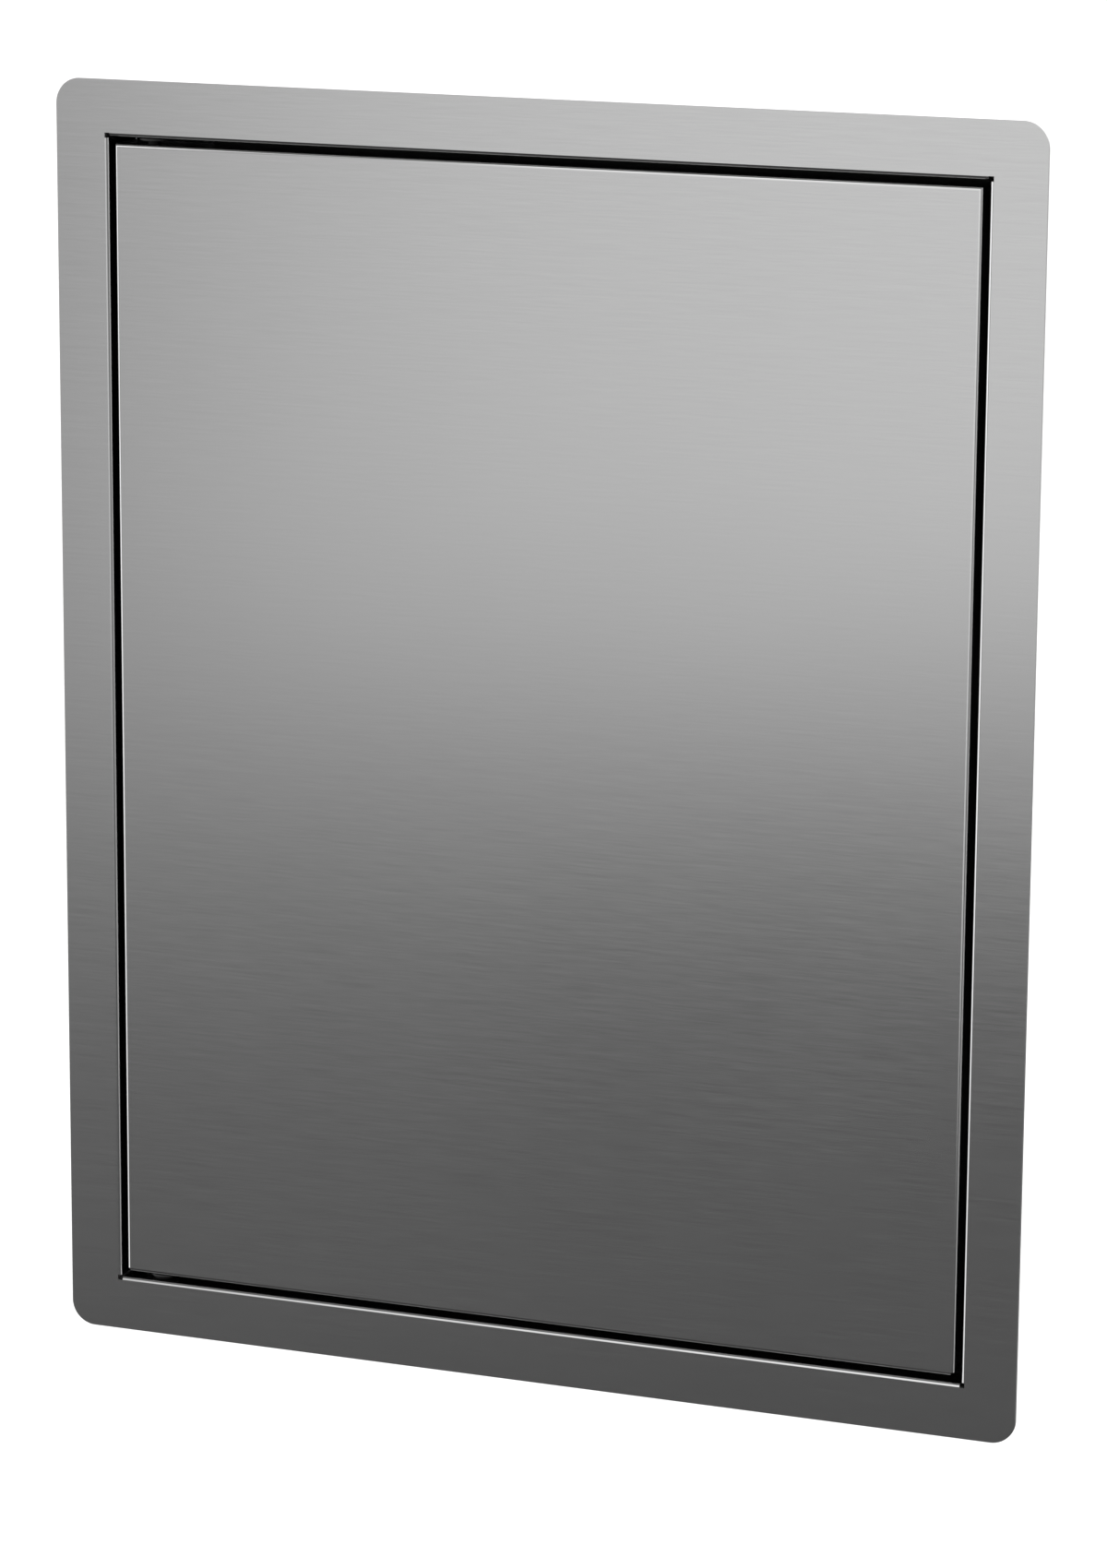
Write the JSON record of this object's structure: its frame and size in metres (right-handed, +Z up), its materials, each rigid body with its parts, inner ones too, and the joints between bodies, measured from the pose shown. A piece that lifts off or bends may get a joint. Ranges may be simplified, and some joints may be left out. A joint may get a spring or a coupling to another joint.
{
  "type": "recessed medicine cabinet",
  "caption": "Recessed bathroom medicine cabinet: brushed steel flange and flush push-to-open door on concealed pivots, adjustable shelves in a steel housing, mirror inside the door.",
  "frame": {"origin": "middle of the wall opening, in the plane of the wall's surface, which is the flange's rear face", "axes": "+Z up, +Y into the wall, the door faces -Y, +X towards the latch side"},
  "size_m": [0.4, 0.0712, 0.508],
  "materials": {
    "brushed_stainless": "stainless sheet with a fine horizontal brushed grain",
    "satin_stainless": "thin stainless sheet, plain satin mill finish",
    "plated_steel": "bright zinc-plated steel",
    "black_steel": "blackened steel, lightly oiled",
    "spring_steel": "drawn spring wire, lightly oiled",
    "black_plastic": "moulded black nylon, fine texture",
    "white_plastic": "moulded natural acetal",
    "black_rubber": "matt black extruded rubber",
    "magnet": "nickel-plated magnet",
    "mirror": "silvered float glass with polished edges"
  },
  "bodies": {
    "cabinet": {"front_frame": "brushed_stainless", "housing_left_wall": "satin_stainless", "housing_right_wall": "satin_stainless", "housing_top_wall": "satin_stainless", "housing_bottom_wall": "satin_stainless", "housing_back": "satin_stainless", "shelf_lower": "satin_stainless", "shelf_middle": "satin_stainless", "shelf_upper": "satin_stainless", "door_seal_top": "black_rubber", "door_seal_bottom": "black_rubber", "door_seal_side": "black_rubber", "shelf_clip_lower_left_front": "plated_steel", "shelf_clip_lower_left_rear": "plated_steel", "shelf_clip_lower_right_front": "plated_steel", "shelf_clip_lower_right_rear": "plated_steel", "shelf_clip_middle_left_front": "plated_steel", "shelf_clip_middle_left_rear": "plated_steel", "shelf_clip_middle_right_front": "plated_steel", "shelf_clip_middle_right_rear": "plated_steel", "shelf_clip_upper_left_front": "plated_steel", "shelf_clip_upper_left_rear": "plated_steel", "shelf_clip_upper_right_front": "plated_steel", "shelf_clip_upper_right_rear": "plated_steel", "latch_bracket": "plated_steel", "latch_wall_screw_front": "plated_steel", "latch_wall_screw_rear": "plated_steel", "latch_seat_screw_front": "plated_steel", "latch_seat_screw_rear": "plated_steel", "lower_pivot_pin": "black_steel", "latch_spring": "spring_steel", "latch_housing": "black_plastic", "upper_pivot_bush": "black_plastic"},
    "door": {"door_skin": "brushed_stainless", "door_liner": "satin_stainless", "mirror_glass": "mirror", "mirror_clip_top_left": "plated_steel", "mirror_clip_top_right": "plated_steel", "mirror_clip_bottom_left": "plated_steel", "mirror_clip_bottom_right": "plated_steel", "mirror_clip_screw_top_left": "plated_steel", "mirror_clip_screw_top_right": "plated_steel", "mirror_clip_screw_bottom_left": "plated_steel", "mirror_clip_screw_bottom_right": "plated_steel", "strike_plate": "plated_steel", "strike_screw_upper": "plated_steel", "strike_screw_lower": "plated_steel", "upper_pivot_block": "black_plastic", "upper_pivot_spring": "spring_steel", "lower_pivot_block": "black_plastic", "lower_pivot_bush": "black_plastic"},
    "pivot_pin": {"upper_pivot_pin": "black_steel"},
    "latch_plunger": {"latch_plunger": "white_plastic", "latch_magnet": "magnet"}
  },
  "joints": [
    {"name": "door_swing", "type": "hinge", "parent": "cabinet", "child": "door", "pos_m": [-0.1612, 0.0053, 0], "axis": [0, 0, -1], "range_deg": [0, 135]},
    {"name": "pivot_pin_retract", "type": "slide", "parent": "door", "child": "pivot_pin", "axis": [0, 0, -1], "range_m": [0, 0.006], "stiffness_N_per_m": 600, "springref_m": -0.004, "deforming": ["upper_pivot_spring"]},
    {"name": "latch_press", "type": "slide", "parent": "cabinet", "child": "latch_plunger", "axis": [0, 1, 0], "range_m": [0, 0.003], "stiffness_N_per_m": 500, "springref_m": -0.004, "deforming": ["latch_spring"]}
  ]
}
